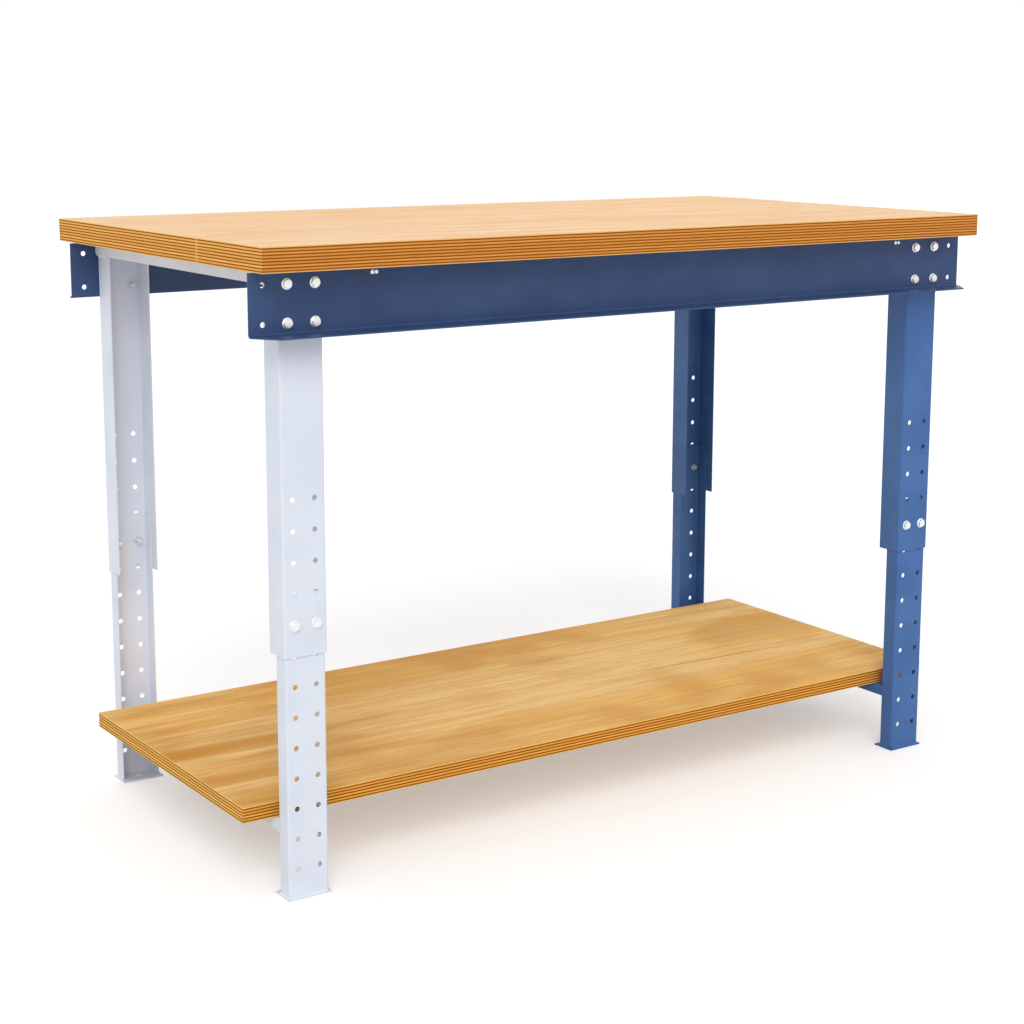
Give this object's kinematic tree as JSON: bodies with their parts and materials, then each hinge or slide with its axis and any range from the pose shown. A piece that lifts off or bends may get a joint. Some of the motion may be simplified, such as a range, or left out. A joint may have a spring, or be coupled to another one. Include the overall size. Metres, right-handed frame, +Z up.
{
  "type": "assembly table",
  "caption": "Workshop assembly table: plywood worktop and lower shelf on folded steel channel legs whose height is set by bolts in rows of holes, joined by two angle beams.",
  "frame": {"origin": "on the floor, under the middle of the worktop", "axes": "+X along the table to the right as seen from the front, +Y from front to rear, +Z up"},
  "size_m": [1.5, 0.8, 1.045],
  "materials": {
    "worktop_plywood": "clear-lacquered plywood, satin",
    "shelf_plywood": "clear-lacquered plywood, satin",
    "pale_frame_paint": "pale blue-grey powder coat",
    "blue_frame_paint": "blue powder coat",
    "navy_beam_paint": "navy-blue powder coat",
    "zinc_plate": "bright zinc"
  },
  "bodies": {
    "lower_frame": {"left_front_inner_leg": "pale_frame_paint", "left_rear_inner_leg": "pale_frame_paint", "right_front_inner_leg": "blue_frame_paint", "right_rear_inner_leg": "blue_frame_paint", "left_front_foot_plate": "pale_frame_paint", "left_rear_foot_plate": "pale_frame_paint", "right_front_foot_plate": "blue_frame_paint", "right_rear_foot_plate": "blue_frame_paint", "left_bottom_rail": "pale_frame_paint", "right_bottom_rail": "blue_frame_paint", "lower_shelf": "shelf_plywood", "shelf_screws": "zinc_plate"},
    "upper_frame": {"left_front_outer_leg": "pale_frame_paint", "left_rear_outer_leg": "pale_frame_paint", "right_front_outer_leg": "blue_frame_paint", "right_rear_outer_leg": "blue_frame_paint", "left_top_rail": "pale_frame_paint", "right_top_rail": "blue_frame_paint", "front_beam": "navy_beam_paint", "rear_beam": "navy_beam_paint", "worktop": "worktop_plywood", "worktop_screws": "zinc_plate", "worktop_clips": "zinc_plate", "clip_screws": "zinc_plate", "beam_bolts": "zinc_plate", "beam_nuts": "zinc_plate", "height_bolts": "zinc_plate", "height_nuts": "zinc_plate"}
  },
  "joints": [
    {"name": "height_adjust", "type": "slide", "parent": "lower_frame", "child": "upper_frame", "axis": [0, 0, 1], "range_m": [-0.3, 0]}
  ]
}
